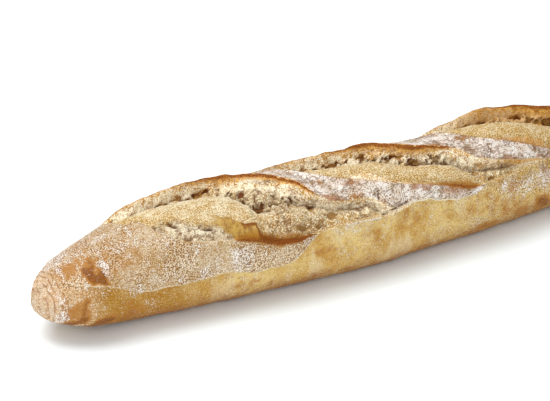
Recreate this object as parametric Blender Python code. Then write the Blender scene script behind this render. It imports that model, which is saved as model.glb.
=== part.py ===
"""A long baguette with five slanting scores, built as one closed loaf.

The loaf lies along X with its near tip at -X and its flat underside on Z = 0. Each score opens
towards -Y and carries an ear, a raised edge of crust, along its +Y side. Dimensions are in
millimetres until the mesh is made. A place on the crust is given by two numbers: its station,
which is the distance from the near tip along the loaf, and its girth, which is the distance
round the crust from the crest line, positive towards +Y.
"""

import bpy
import numpy as np
from mathutils import Matrix

MM = 0.001
LENGTH = 600.0

# The body's half width, height and sideways bend, as (station, value).
HALF_WIDTH = ((0, 35), (14, 34.5), (45, 28.5), (75, 28.5), (110, 30.5), (150, 30.5), (220, 28),
              (290, 25.5), (350, 27), (420, 29), (500, 30), (600, 30))
HEIGHT = ((0, 46), (25, 45), (60, 47.5), (130, 47.5), (170, 46.3), (215, 48), (255, 47.5),
          (300, 43.5), (360, 45), (430, 47), (600, 46))
SIDEWAYS = ((0, -3), (60, 3), (110, 3), (170, 0.5), (230, 2), (290, 7), (350, 10),
            (450, 8), (600, -3))

# A nose shrinks to nothing over its reach. A larger power makes it blunter.
NEAR_NOSE = (105.0, 2.6)
FAR_NOSE = (95.0, 2.4)
NOSE_LIFT = 16.0  # height of a tip above the level of the underside

WAIST = 0.44  # height of the widest level, as a share of the loaf's height
CROWN_POWER = 2.05  # 2 gives an ellipse above the waist, more gives a boxier section
FLANK_POWER = 2.6
SOLE_DEPTH = 1.5  # how much of the section's lower curve the flat underside cuts off

# A score opens between an upper edge and a lower lip, both as (share of its length, girth).
LATE_EDGE = ((0, 18), (0.1, 17), (0.25, 15), (0.4, 11.5), (0.47, 6.5), (0.53, 2.5), (0.58, -1.5),
             (0.62, -7.5), (0.65, -14.5), (0.69, -19.5), (0.75, -21.5), (0.855, -24), (0.89, -29),
             (1, -31))
EARLY_EDGE = ((0, 21), (0.1, 19), (0.25, 16), (0.36, 13), (0.44, 9), (0.48, 3), (0.52, -1.8),
              (0.58, -5), (0.64, -8), (0.69, -12.5), (0.72, -17), (0.77, -20), (0.87, -23.5),
              (1, -26))
MIDDLE_EDGE = ((0, 21), (0.1, 19.5), (0.22, 17), (0.33, 12.5), (0.42, 6.5), (0.48, 1.2),
               (0.53, -2.5), (0.6, -6.5), (0.67, -12), (0.72, -17), (0.8, -20.5), (0.9, -23.5),
               (1, -25.5))
TORN_LIP = ((0, 17), (0.02, 3), (0.07, -4), (0.09, -10), (0.13, -18), (0.22, -24.5), (0.35, -29.2),
            (0.45, -34.2), (0.53, -36.3), (0.62, -34.8), (0.7, -33.2), (0.93, -33), (1, -31.5))
GENTLE_LIP = ((0, 20), (0.06, 13), (0.12, 4), (0.17, -2), (0.28, -10.8), (0.39, -18.5), (0.5, -24),
              (0.61, -29), (0.68, -31.5), (0.8, -31), (0.92, -28.7), (1, -26.3))
STEEP_LIP = ((0, 20), (0.03, 5), (0.06, -0.5), (0.15, -9), (0.26, -15.3), (0.38, -21.5), (0.5, -26),
             (0.61, -29), (0.7, -30), (0.85, -28.5), (1, -26))
EDGE_POINTS = 90

# Start and length of each score, the height of its ear and its two edges.
SCORES = (
    dict(start=46, length=150, ear=6.5, upper=LATE_EDGE, lower=TORN_LIP),
    dict(start=123, length=157, ear=6.0, upper=EARLY_EDGE, lower=GENTLE_LIP),
    dict(start=225, length=148, ear=7.0, upper=MIDDLE_EDGE, lower=STEEP_LIP),
    dict(start=315, length=147, ear=6.0, upper=MIDDLE_EDGE, lower=GENTLE_LIP),
    dict(start=407, length=145, ear=6.5, upper=EARLY_EDGE, lower=STEEP_LIP),
)

# The ear swells along its score, as (share of the score's length, share of the ear's height).
EAR_SHAPE = ((0, 0), (0.08, 0.45), (0.2, 0.85), (0.33, 1), (0.42, 0.92), (0.5, 0.75), (0.6, 0.5),
             (0.7, 0.3), (0.85, 0.15), (1, 0))
EAR_REACH = 20.0  # distance from its edge at which the ear starts to lift off the body
EAR_ROUNDING = 1.0
EAR_LEAN = 0.4  # how far the ear leans over its score, as a share of its height
WALL_WIDTH = 7.0  # the torn wall from the ear's edge down to the crease
WALL_SHARE = 0.4  # the most of a narrow score that its wall takes up
UNDERCUT = 0.3  # hollowing of the wall, as a share of the ear's height

# Between the crease and the lip the inside of the loaf bulges out.
CREASE_DEPTH = 3.0
BULGE_HEIGHT = 3.0
GROOVE_DEPTH = 1.2
LIP_HEIGHT = 1.6
LIP_WALL = 3.0
LIP_REACH = 9.0

ROW_STEP = 1.2
COLUMNS = 180
CROWDING = 0.38  # how much closer than even the columns stand at the crest
SECTION_ANGLES = 481
TRIANGLES = 9000


def along(table, place):
    """A smooth curve through the (place, value) pairs of a table, read at every place."""
    knots, values = np.array(table, float).T
    step = np.diff(knots)
    rise = np.diff(values) / step
    inner = (rise[:-1] * step[1:] + rise[1:] * step[:-1]) / (step[:-1] + step[1:])
    inner[rise[:-1] * rise[1:] <= 0] = 0
    slope = np.concatenate([rise[:1], inner, rise[-1:]])
    i = np.clip(np.searchsorted(knots, place) - 1, 0, len(step) - 1)
    t = np.clip((place - knots[i]) / step[i], 0, 1)
    start = (2 * t**3 - 3 * t**2 + 1) * values[i] + (t**3 - 2 * t**2 + t) * step[i] * slope[i]
    end = (3 * t**2 - 2 * t**3) * values[i + 1] + (t**3 - t**2) * step[i] * slope[i + 1]
    return start + end


def smooth(low, high, x):
    """0 below low, 1 above high, with a smooth rise between."""
    t = np.clip((x - low) / (high - low), 0, 1)
    return t * t * (3 - 2 * t)


def nose_share(distance, nose):
    """The share of the full section reached at a distance from a nose's tip."""
    reach, power = nose
    return np.sqrt(1 - (1 - np.clip(distance / reach, 0, 1)) ** power)


def fullness(station):
    """The share of the full section that the loaf has at a station."""
    return nose_share(station, NEAR_NOSE) * nose_share(LENGTH - station, FAR_NOSE)


def section_point(station, angle):
    """The plain body's point at an angle round its section, with the crest at 90 degrees."""
    full = fullness(station)
    width = along(HALF_WIDTH, station) * full
    height = along(HEIGHT, station) * full
    waist = WAIST * height
    cosine = np.cos(angle)
    sine = np.sin(angle)
    side_power = np.where(sine > 0, 2.0, FLANK_POWER)
    y = width * np.sign(cosine) * np.abs(cosine) ** (2 / side_power)
    crown = (height - waist) * np.abs(sine) ** (2 / CROWN_POWER)
    belly = (waist + SOLE_DEPTH * full) * np.abs(sine) ** (2 / FLANK_POWER)
    z = np.maximum(waist + np.where(sine > 0, crown, -belly), 0)
    x = np.broadcast_to(station - LENGTH / 2, y.shape)
    return np.stack([x, y + along(SIDEWAYS, station), z + NOSE_LIFT * (1 - full)], -1)


def crust_stations():
    """Stations one row step apart on the crust, so that they crowd together at the tips."""
    even = np.linspace(0, LENGTH, int(LENGTH / ROW_STEP) * 8)
    half_width = along(HALF_WIDTH, even) * fullness(even)
    run = np.cumsum(np.hypot(np.diff(even), np.diff(half_width)))
    run = np.concatenate([[0], run])
    rows = int(run[-1] / ROW_STEP) + 1
    return np.interp(np.linspace(0, run[-1], rows), run, even)


def plain_body(stations):
    """Points of the plain body and their girths, one row for each station."""
    angles = np.radians(np.linspace(270, -90, SECTION_ANGLES))
    fine = section_point(stations[:, None], angles[None, :])
    steps = np.linalg.norm(np.diff(fine, axis=1), axis=-1)
    run = np.concatenate([np.zeros((len(stations), 1)), np.cumsum(steps, axis=1)], axis=1)
    crest = run[:, SECTION_ANGLES // 2]
    share = np.linspace(-1, 1, COLUMNS, endpoint=False)
    share = share * (1 - CROWDING + CROWDING * share**2)
    points = np.empty((len(stations), COLUMNS, 3))
    girths = np.empty((len(stations), COLUMNS))
    for row, (line, length, middle) in enumerate(zip(fine, run, crest)):
        girths[row] = share * np.where(share < 0, middle, length[-1] - middle)
        for axis in range(3):
            points[row, :, axis] = np.interp(girths[row] + middle, length, line[:, axis])
    return points, girths


def unit(vectors):
    """The vectors at length one, with a zero vector left as it is."""
    return vectors / np.maximum(np.linalg.norm(vectors, axis=-1, keepdims=True), 1e-9)


def normals_and_tangents(points):
    """Outward normals of the body, and tangents round it that point to rising girth."""
    lengthwise = np.gradient(points, axis=0)
    around = np.roll(points, -1, axis=1) - np.roll(points, 1, axis=1)
    return unit(np.cross(lengthwise, around)), unit(around)


def nearest(spots, line):
    """Each spot's distance to a line of points, and the share of the line where that falls."""
    best = np.full(len(spots), np.inf)
    share = np.zeros(len(spots))
    for i, (start, end) in enumerate(zip(line[:-1], line[1:])):
        leg = end - start
        t = np.clip(((spots - start) @ leg) / (leg @ leg), 0, 1)
        distance = np.linalg.norm(spots - start - t[:, None] * leg, axis=1)
        closer = distance < best
        best[closer] = distance[closer]
        share[closer] = (i + t[closer]) / (len(line) - 1)
    return best, share


def score_edges(score):
    """The upper edge and the lower lip of a score, as lines of (station, girth)."""
    place = np.linspace(0, 1, EDGE_POINTS)
    station = score["start"] + place * score["length"]
    edges = [along(score[edge], place) for edge in ("upper", "lower")]
    return [np.stack([station, edge], -1) for edge in edges]


def opening_relief(ear, rim, from_upper, from_lower):
    """Lift and sideways shift of the crust between the two edges of a score."""
    opening = from_upper + from_lower
    wall = np.minimum(WALL_WIDTH, WALL_SHARE * opening) + 1e-6
    crease = CREASE_DEPTH * smooth(2, 14, opening)
    down = np.clip(from_upper / wall, 0, 1)
    across = np.clip((from_upper - wall) / (opening - wall + 1e-6), 0, 1)
    wall_lift = ear - (ear + crease) * down**0.8
    bulge = BULGE_HEIGHT * smooth(8, 34, opening) * np.sin(np.pi * across) ** 0.8
    bulge_lift = bulge - crease * (1 - across) ** 3 - GROOVE_DEPTH * across**6
    lift = np.where(down < 1, wall_lift, bulge_lift)
    lift = lift + (rim - lift) * smooth(LIP_WALL, 0, from_lower)
    lean = EAR_LEAN * (1 - down) ** 2 - UNDERCUT * np.sin(np.pi * down)
    return lift, -ear * lean


def score_relief(score, station, girth):
    """How far a score lifts the crust along its normals and shifts it along its tangents."""
    upper, lower = score_edges(score)
    spots = np.stack([station, girth], -1)
    from_upper, upper_share = nearest(spots, upper)
    from_lower, lower_share = nearest(spots, lower)
    from_upper = np.hypot(from_upper, EAR_ROUNDING) - EAR_ROUNDING
    beside = (station > upper[0, 0]) & (station < upper[-1, 0])
    above = beside & (girth > np.interp(station, *upper.T))
    below = beside & (girth < np.interp(station, *lower.T))
    inside = beside & ~above & ~below

    ear = score["ear"] * along(EAR_SHAPE, upper_share)
    rim = LIP_HEIGHT * smooth(0, 0.06, lower_share) * smooth(1, 0.9, lower_share)
    flap = np.where(below, 0, ear * np.clip(1 - from_upper / EAR_REACH, 0, 1) ** 2)
    roll = np.where(above, 0, rim * np.clip(1 - from_lower / LIP_REACH, 0, 1) ** 2)
    lift, shift = opening_relief(ear, rim, from_upper, from_lower)
    return np.where(inside, lift, flap + roll), np.where(inside, shift, -EAR_LEAN * flap)


def scored_loaf():
    """The crust's points with every score open, one row for each station."""
    stations = crust_stations()
    points, girths = plain_body(stations)
    normals, tangents = normals_and_tangents(points)
    where = np.broadcast_to(stations[:, None], girths.shape)
    lift = np.zeros_like(girths)
    shift = np.zeros_like(girths)
    for score in SCORES:
        half = score["length"] / 2
        near = np.abs(where - score["start"] - half) < half + EAR_REACH
        up, side = score_relief(score, where[near], girths[near])
        lift[near] += up
        shift[near] += side
    return points + normals * lift[..., None] + tangents * shift[..., None]


def closed_mesh(points):
    """A mesh of the rows, with each end row drawn together to one vertex."""
    rows, columns = points.shape[:2]
    tips = [points[0].mean(axis=0), points[-1].mean(axis=0)]
    vertices = np.concatenate([points[1:-1].reshape(-1, 3), tips]) * MM
    index = np.arange((rows - 2) * columns).reshape(rows - 2, columns)
    turned = np.roll(index, -1, axis=1)
    quads = np.stack([index[:-1], index[1:], turned[1:], turned[:-1]], -1).reshape(-1, 4)
    near = len(vertices) - 2
    far = len(vertices) - 1
    fans = [(near, a, b) for a, b in zip(index[0], turned[0])]
    fans += [(far, b, a) for a, b in zip(index[-1], turned[-1])]
    mesh = bpy.data.meshes.new("baguette")
    mesh.from_pydata(vertices.tolist(), [], quads.tolist() + fans)
    return mesh


def thinned(loaf):
    """The loaf's mesh with its faces merged down to the wanted number of triangles."""
    triangles = sum(len(face.vertices) - 2 for face in loaf.data.polygons)
    thin = loaf.modifiers.new("fewer_faces", "DECIMATE")
    thin.ratio = TRIANGLES / triangles
    evaluated = loaf.evaluated_get(bpy.context.evaluated_depsgraph_get())
    mesh = bpy.data.meshes.new_from_object(evaluated)
    loaf.modifiers.clear()
    return mesh


def centred(mesh):
    """The mesh moved so that the middle of its bounding box's underside is the origin."""
    corners = np.array([vertex.co for vertex in mesh.vertices])
    low = corners.min(axis=0)
    middle = (low + corners.max(axis=0)) / 2
    mesh.transform(Matrix.Translation((-middle[0], -middle[1], -low[2])))
    return mesh


def baked_crust():
    """Matt golden crust."""
    material = bpy.data.materials.new("baked_crust")
    material.use_nodes = True
    shader = material.node_tree.nodes["Principled BSDF"]
    shader.inputs["Base Color"].default_value = (0.6, 0.4, 0.195, 1)
    shader.inputs["Roughness"].default_value = 0.7
    shader.inputs["Metallic"].default_value = 0.0
    return material


def main():
    for old in list(bpy.data.objects):
        bpy.data.objects.remove(old)
    loaf = bpy.data.objects.new("baguette", closed_mesh(scored_loaf()))
    bpy.context.scene.collection.objects.link(loaf)
    loaf.data = centred(thinned(loaf))
    loaf.data.name = "baguette"
    loaf.data.shade_smooth()
    loaf.data.materials.append(baked_crust())


main()
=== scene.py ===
"""Looks of the baguette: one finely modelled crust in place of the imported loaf, a floor and light."""

import math

import bpy
import numpy as np
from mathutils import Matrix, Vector


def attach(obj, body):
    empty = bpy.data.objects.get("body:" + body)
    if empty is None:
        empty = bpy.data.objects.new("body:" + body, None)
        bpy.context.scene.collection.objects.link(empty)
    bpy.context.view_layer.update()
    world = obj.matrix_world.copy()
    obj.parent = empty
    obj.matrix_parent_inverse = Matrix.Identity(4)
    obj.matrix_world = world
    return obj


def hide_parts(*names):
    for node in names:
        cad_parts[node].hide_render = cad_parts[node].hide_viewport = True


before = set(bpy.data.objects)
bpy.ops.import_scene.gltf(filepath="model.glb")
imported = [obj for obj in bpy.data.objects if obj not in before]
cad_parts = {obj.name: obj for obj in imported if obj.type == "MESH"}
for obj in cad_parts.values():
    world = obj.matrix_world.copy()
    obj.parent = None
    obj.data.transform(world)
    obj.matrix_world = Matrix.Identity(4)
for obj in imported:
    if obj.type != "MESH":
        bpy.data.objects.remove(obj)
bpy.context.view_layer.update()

MM = 0.001
LENGTH = 600.0

# ---- The loaf's form, in millimetres ----
# A place on the crust is its station, the distance from the near tip along the loaf, and its
# girth, the distance round the crust from the crest line, positive towards +Y. Tables pair a
# station with a value; those of a score pair a share of its length with a value.

HALF_WIDTH = ((0, 35), (14, 34.5), (45, 28.5), (75, 28.5), (110, 30.5), (150, 30.5), (220, 28),
              (290, 25.5), (350, 27), (420, 29), (500, 30), (600, 30))
HEIGHT = ((0, 46), (25, 45), (60, 47.5), (130, 47.5), (170, 46.3), (215, 48), (255, 47.5),
          (300, 43.5), (360, 45), (430, 47), (600, 46))
SIDEWAYS = ((0, -3), (60, 3), (110, 3), (170, 0.5), (230, 2), (290, 7), (350, 10),
            (450, 8), (600, -3))
NEAR_NOSE = (105.0, 2.6)
FAR_NOSE = (95.0, 2.4)
NOSE_LIFT = 16.0
WAIST = 0.44
CROWN_POWER = 2.05
FLANK_POWER = 2.6
SOLE_DEPTH = 1.5

LATE_EDGE = ((0, 18), (0.1, 17), (0.25, 15), (0.4, 11.5), (0.47, 6.5), (0.53, 2.5), (0.58, -1.5),
             (0.62, -7.5), (0.65, -14.5), (0.69, -19.5), (0.75, -21.5), (0.855, -24), (0.89, -29),
             (1, -31))
EARLY_EDGE = ((0, 21), (0.1, 19), (0.25, 16), (0.36, 13), (0.44, 9), (0.48, 3), (0.52, -1.8),
              (0.58, -5), (0.64, -8), (0.69, -12.5), (0.72, -17), (0.77, -20), (0.87, -23.5),
              (1, -26))
MIDDLE_EDGE = ((0, 21), (0.1, 19.5), (0.22, 17), (0.33, 12.5), (0.42, 6.5), (0.48, 1.2),
               (0.53, -2.5), (0.6, -6.5), (0.67, -12), (0.72, -17), (0.8, -20.5), (0.9, -23.5),
               (1, -25.5))
TORN_LIP = ((0, 17), (0.02, 3), (0.07, -4), (0.09, -10), (0.13, -18), (0.22, -24.5), (0.35, -29.2),
            (0.45, -34.2), (0.53, -36.3), (0.62, -34.8), (0.7, -33.2), (0.93, -33), (1, -31.5))
GENTLE_LIP = ((0, 20), (0.06, 13), (0.12, 4), (0.17, -2), (0.28, -10.8), (0.39, -18.5), (0.5, -24),
              (0.61, -29), (0.68, -31.5), (0.8, -31), (0.92, -28.7), (1, -26.3))
STEEP_LIP = ((0, 20), (0.03, 5), (0.06, -0.5), (0.15, -9), (0.26, -15.3), (0.38, -21.5), (0.5, -26),
             (0.61, -29), (0.7, -30), (0.85, -28.5), (1, -26))
EDGE_POINTS = 90
SCORES = (
    dict(start=46, length=150, ear=6.5, upper=LATE_EDGE, lower=TORN_LIP, tail=0.42),
    dict(start=123, length=157, ear=6.0, upper=EARLY_EDGE, lower=GENTLE_LIP, tail=0.7),
    dict(start=225, length=148, ear=7.0, upper=MIDDLE_EDGE, lower=STEEP_LIP, tail=0.62),
    dict(start=315, length=147, ear=6.0, upper=MIDDLE_EDGE, lower=GENTLE_LIP, tail=0.66),
    dict(start=407, length=145, ear=6.5, upper=EARLY_EDGE, lower=STEEP_LIP, tail=0.55),
)
EAR_SHAPE = ((0, 0), (0.08, 0.45), (0.2, 0.85), (0.33, 1), (0.42, 0.92), (0.5, 0.75), (0.6, 0.5),
             (0.7, 0.3), (0.85, 0.15), (1, 0))
EAR_REACH = 20.0
EAR_ROUNDING = 0.5
EAR_LEAN = 0.45
WALL_WIDTH = 7.0
WALL_SHARE = 0.4
FIRST_WALL = ((0, 6.5), (0.3, 5.4), (0.37, 6), (0.42, 7.5), (0.455, 12), (0.49, 17), (0.52, 20),
              (0.55, 19.5), (0.575, 16.5), (0.61, 12), (0.64, 7), (0.66, 4.6), (0.69, 3),
              (0.74, 2.8), (0.8, 3.2), (1, 2.5))
FIRST_WALL_SHARE = 0.55
UNDERCUT = 0.35
CREASE_DEPTH = 3.4
BULGE_HEIGHT = 3.0
GROOVE_DEPTH = 1.2
LIP_HEIGHT = 1.6
LIP_WALL = 1.6
LIP_REACH = 9.0

# how brown the upper edges and the lips are baked, and how deep the crevice at the foot of an ear is
# and how much painted shade it gets, along each score
TOAST = ((0, 0), (0.04, 0.12), (0.27, 0.22), (0.35, 0.45), (0.44, 0.95), (0.55, 0.95), (0.62, 0.5),
         (0.67, 0.12), (1, 0))
FIRST_BROWNING = ((0, 0), (0.31, 0), (0.37, 0.8), (0.44, 1), (0.54, 1), (0.6, 0), (1, 0))
BROWNING = ((0, 0), (0.1, 0), (0.2, 0.3), (0.56, 0.35), (0.66, 0.9), (0.73, 0), (1, 0))
FIRST_CREVICE = ((0, 0), (0.15, 0.3), (0.4, 0.4), (0.5, 1), (0.64, 1), (0.7, 0.35), (0.9, 0.4),
                 (1, 0))
CREVICE = ((0, 0), (0.15, 0.3), (0.4, 0.4), (0.5, 0.9), (0.62, 0.9), (0.7, 0.7), (1, 0.5))

# the first score's second tear and the flap of crust over it, with their widths along its lip
TEAR_DEPTH = 1.2
FLAP_THICKNESS = 1.5
TEAR_WIDTH = ((0.08, 0), (0.14, 10), (0.24, 7.5), (0.3, 6), (0.34, 0))
FLAP_WIDTH = ((0.18, 17), (0.25, 14), (0.31, 10.8), (0.345, 8.4), (0.37, 7.2), (0.395, 7.8),
              (0.407, 4.6), (0.45, 3), (0.5, 2.2), (0.64, 0))

CREVICE_DEPTH = 1.5
CREVICE_WIDTH = 0.8
HOLE_DEPTH = 1.6
HOLE_SHIFT = 2.6

# deep cracks away from the ears: (station, girth) along each
CREVICES = (
    ((64, -9), (70, -12), (73.5, -15.5)),
    ((77.3, -14.2), (75.8, -18.5)),
    ((81, -16.5), (84, -19), (88.5, -20.8)),
    ((177.5, -19), (175.5, -25.5)),
    ((175, -33), (181, -31.2), (186.7, -29.8), (191.5, -29.5)),
)

FAR_OFF = 30.0  # level of a place that no line is near
FAR_OUT = 20.0  # how far outside every score such a place counts

ROW_STEP = 0.55
COLUMNS = 400
CROWDING = 0.42  # how much closer the columns lie near the crest
SECTION_ANGLES = 481
TRIANGLES = 192000


def along(table, place):
    """A smooth curve through the (place, value) pairs of a table, read at every place."""
    knots, values = np.array(table, float).T
    step = np.diff(knots)
    rise = np.diff(values) / step
    inner = (rise[:-1] * step[1:] + rise[1:] * step[:-1]) / (step[:-1] + step[1:])
    inner[rise[:-1] * rise[1:] <= 0] = 0
    slope = np.concatenate([rise[:1], inner, rise[-1:]])
    i = np.clip(np.searchsorted(knots, place) - 1, 0, len(step) - 1)
    t = np.clip((place - knots[i]) / step[i], 0, 1)
    start = (2 * t**3 - 3 * t**2 + 1) * values[i] + (t**3 - 2 * t**2 + t) * step[i] * slope[i]
    end = (3 * t**2 - 2 * t**3) * values[i + 1] + (t**3 - t**2) * step[i] * slope[i + 1]
    return start + end


def smooth(low, high, x):
    t = np.clip((x - low) / (high - low), 0, 1)
    return t * t * (3 - 2 * t)


def nose_share(distance, nose):
    """How far a nose has filled out at a distance from its tip, 0 to 1."""
    reach, power = nose
    return np.sqrt(1 - (1 - np.clip(distance / reach, 0, 1)) ** power)


def fullness(station):
    return nose_share(station, NEAR_NOSE) * nose_share(LENGTH - station, FAR_NOSE)


def section_point(station, angle):
    """Points of the plain body's cross sections."""
    full = fullness(station)
    width = along(HALF_WIDTH, station) * full
    height = along(HEIGHT, station) * full
    waist = WAIST * height
    cosine = np.cos(angle)
    sine = np.sin(angle)
    side_power = np.where(sine > 0, 2.0, FLANK_POWER)
    y = width * np.sign(cosine) * np.abs(cosine) ** (2 / side_power)
    crown = (height - waist) * np.abs(sine) ** (2 / CROWN_POWER)
    belly = (waist + SOLE_DEPTH * full) * np.abs(sine) ** (2 / FLANK_POWER)
    z = np.maximum(waist + np.where(sine > 0, crown, -belly), 0)
    x = np.broadcast_to(station - LENGTH / 2, y.shape)
    return np.stack([x, y + along(SIDEWAYS, station), z + NOSE_LIFT * (1 - full)], -1)


def crust_stations():
    """Stations evenly spread over the outline, so closer at the noses."""
    even = np.linspace(0, LENGTH, int(LENGTH / ROW_STEP) * 8)
    half_width = along(HALF_WIDTH, even) * fullness(even)
    run = np.concatenate([[0], np.cumsum(np.hypot(np.diff(even), np.diff(half_width)))])
    rows = int(run[-1] / ROW_STEP) + 1
    return np.interp(np.linspace(0, run[-1], rows), run, even)


def plain_body(stations):
    """Points of the body without its scores, and the girth of each."""
    angles = np.radians(np.linspace(270, -90, SECTION_ANGLES))
    fine = section_point(stations[:, None], angles[None, :])
    steps = np.linalg.norm(np.diff(fine, axis=1), axis=-1)
    run = np.concatenate([np.zeros((len(stations), 1)), np.cumsum(steps, axis=1)], axis=1)
    crest = run[:, SECTION_ANGLES // 2]
    share = np.linspace(-1, 1, COLUMNS, endpoint=False)
    share = share * (1 - CROWDING + CROWDING * share**2)
    points = np.empty((len(stations), COLUMNS, 3))
    girths = np.empty((len(stations), COLUMNS))
    for row, (line, length, middle) in enumerate(zip(fine, run, crest)):
        girths[row] = share * np.where(share < 0, middle, length[-1] - middle)
        for axis in range(3):
            points[row, :, axis] = np.interp(girths[row] + middle, length, line[:, axis])
    return points, girths


def unit(vectors):
    return vectors / np.maximum(np.linalg.norm(vectors, axis=-1, keepdims=True), 1e-9)


def normals_and_tangents(points):
    lengthwise = np.gradient(points, axis=0)
    around = np.roll(points, -1, axis=1) - np.roll(points, 1, axis=1)
    return unit(np.cross(lengthwise, around)), unit(around)


def nearest(spots, line):
    """Distance from spots to a line, and the nearest point's share of it."""
    best = np.full(len(spots), np.inf)
    share = np.zeros(len(spots))
    for i, (start, end) in enumerate(zip(line[:-1], line[1:])):
        leg = end - start
        t = np.clip(((spots - start) @ leg) / (leg @ leg), 0, 1)
        distance = np.linalg.norm(spots - start - t[:, None] * leg, axis=1)
        closer = distance < best
        best[closer] = distance[closer]
        share[closer] = (i + t[closer]) / (len(line) - 1)
    return best, share


# ---- Noise, the same on every run ----

def scramble(cell, seed):
    """A fixed number from 0 to 1 for every whole-numbered cell."""
    n = (cell[..., 0] * 73856093) ^ (cell[..., 1] * 19349663) ^ (cell[..., 2] * 83492791)
    n = (n ^ (seed * 2654435761)) & 0xFFFFFFFF
    n = ((n ^ (n >> 15)) * 2246822519) & 0xFFFFFFFF
    n = ((n ^ (n >> 13)) * 3266489917) & 0xFFFFFFFF
    return (n ^ (n >> 16)) / 4294967295.0


def wander(points, size, seed):
    """Smooth noise from -1 to 1 with lumps of the given size."""
    p = points / size
    base = np.floor(p).astype(np.int64)
    f = p - base
    f = f * f * f * (f * (f * 6 - 15) + 10)
    total = np.zeros(p.shape[:-1])
    for corner in np.ndindex(2, 2, 2):
        weight = np.prod(np.where(corner, f, 1 - f), axis=-1)
        total += weight * scramble(base + np.array(corner), seed)
    return total * 2 - 1


def rough(points, size, seed, octaves=3):
    """Noise of several sizes, each half the last."""
    total = np.zeros(points.shape[:-1])
    for octave in range(octaves):
        total += wander(points, size / 2**octave, seed + octave) / 2**octave
    return total / (2 - 2 / 2**octaves) * 1.3


def cells(points, size, seed):
    """Distance to the nearest scattered centre, in cell sizes, and that centre's own number."""
    p = points / size
    base = np.floor(p).astype(np.int64)
    first = np.full(p.shape[:-1], 9.0)
    number = np.zeros(p.shape[:-1])
    for step in np.ndindex(3, 3, 3):
        cell = base + np.array(step) - 1
        centre = np.stack([scramble(cell, seed + k) for k in range(3)], -1)
        distance = np.linalg.norm(cell + centre - p, axis=-1)
        closer = distance < first
        number = np.where(closer, scramble(cell, seed + 7), number)
        first = np.where(closer, distance, first)
    return first, number


# ---- Scores ----

def score_edges(score, index):
    """The ragged upper edge and lower lip of a score, as (station, girth)."""
    place = np.linspace(0, 1, EDGE_POINTS)
    station = score["start"] + place * score["length"]
    edges = []
    for side, edge in enumerate(("upper", "lower")):
        girth = along(score[edge], place)
        spots = np.stack([station, girth, np.full_like(girth, 40.0 * index + 20 * side)], -1)
        ragged = 0.45 * wander(spots, 9.0, 31) + 0.25 * wander(spots, 3.5, 32)
        ends = smooth(0, 0.05, place) * smooth(1, 0.95, place)
        edges.append(np.stack([station, girth + ragged * ends], -1))
    return edges


def score_fields(score, index, station, girth):
    """Everything about the places near one score that its relief and colours need."""
    upper, lower = score_edges(score, index)
    spots = np.stack([station, girth], -1)
    from_upper, upper_share = nearest(spots, upper)
    from_lower, lower_share = nearest(spots, lower)
    beside = (station > upper[0, 0]) & (station < upper[-1, 0])
    above = beside & (girth > np.interp(station, *upper.T))
    below = beside & (girth < np.interp(station, *lower.T))
    inside = beside & ~above & ~below
    return from_upper, upper_share, from_lower, lower_share, above, below, inside


def crumb_relief(place, seed):
    """Lift of torn crumb, round lumps between pits of two sizes, and how much painted shade darkens its
    pits.
    """
    bent = place + 1.4 * np.stack([wander(place, 4.0, seed + axis) for axis in range(3)], -1)
    lumps = 1 - 2 * np.abs(wander(bent, 5.0, seed + 5)) - 0.8 * np.abs(wander(bent, 2.4, seed + 6))
    near, number = cells(bent, 4.8, seed + 10)
    large = smooth(0.66, 0.22, near) * smooth(0.5, 0.62, number)
    near, number = cells(bent, 2.4, seed + 20)
    little = smooth(0.6, 0.2, near) * smooth(0.45, 0.6, number)
    return 0.8 * lumps - 2.3 * large - 0.8 * little, np.clip(large + 0.55 * little, 0, 1)


def wall_holes(run, depth, wall, index):
    """Gas cells along the foot of an ear, 0 to 1: wide hollows and small openings, both painted darker
    as shade in them.
    """
    spots = np.stack([run, depth * 1.5, np.full_like(run, 50.0 * index)], -1)
    bent = spots + 1.1 * np.stack([wander(spots, 3.5, 52 + axis) for axis in range(3)], -1)
    narrow = np.minimum(wall, 7.0)
    row = np.exp(-(((depth - wall + 0.26 * narrow) / (0.32 * narrow + 0.3)) ** 2))
    near, number = cells(bent * (0.34, 0.75, 1), 3.2, 57 + index)
    hollow = smooth(0.6, 0.3, near) * smooth(0.42, 0.5, number) * smooth(0.3, 0.7, row)
    near, number = cells(bent * (0.62, 1, 1), 2.9, 61 + index)
    hole = smooth(0.56, 0.3, near + 0.3 * (0.7 - number)) * smooth(0.42, 0.52, number)
    near, number = cells(bent, 1.9, 67 + index)
    pores = smooth(0.5, 0.25, near) * smooth(0.45, 0.55, number)
    spread = np.exp(-(((depth - wall + 0.34 * narrow) / (0.42 * narrow + 0.3)) ** 2))
    openings = hole * smooth(0.4, 0.75, row) * (0.5 + 0.5 * hollow) + 0.6 * pores * spread
    return hollow, np.clip(openings, 0, 1)


def crevice_levels(station, girth, place):
    """Signed distance to the nearest deep crack, and how open that crack is."""
    spots = np.stack([station, girth], -1)
    spots = spots + 0.5 * np.stack([wander(place, 2.6, 25 + axis) for axis in range(2)], -1)
    level = np.full_like(girth, FAR_OFF)
    openness = np.zeros_like(girth)
    for points in CREVICES:
        line = np.array(points, float)
        near = np.all((spots > line.min(axis=0) - 6) & (spots < line.max(axis=0) + 6), axis=-1)
        gap, share = nearest(spots[near], line)
        leg = np.minimum((share * (len(line) - 1)).astype(int), len(line) - 2)
        ahead = line[leg + 1] - line[leg]
        beside = spots[near] - line[leg]
        side = np.sign(ahead[:, 0] * beside[:, 1] - ahead[:, 1] * beside[:, 0])
        length = np.linalg.norm(np.diff(line, axis=0), axis=1).sum()
        ends = smooth(0, 1.5, share * length) * smooth(0, 1.5, (1 - share) * length)
        level[near] = np.where(gap < np.abs(level[near]), side * gap, level[near])
        openness[near] = np.maximum(openness[near], ends * smooth(2.6, 1.6, gap))
    return level, openness


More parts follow.
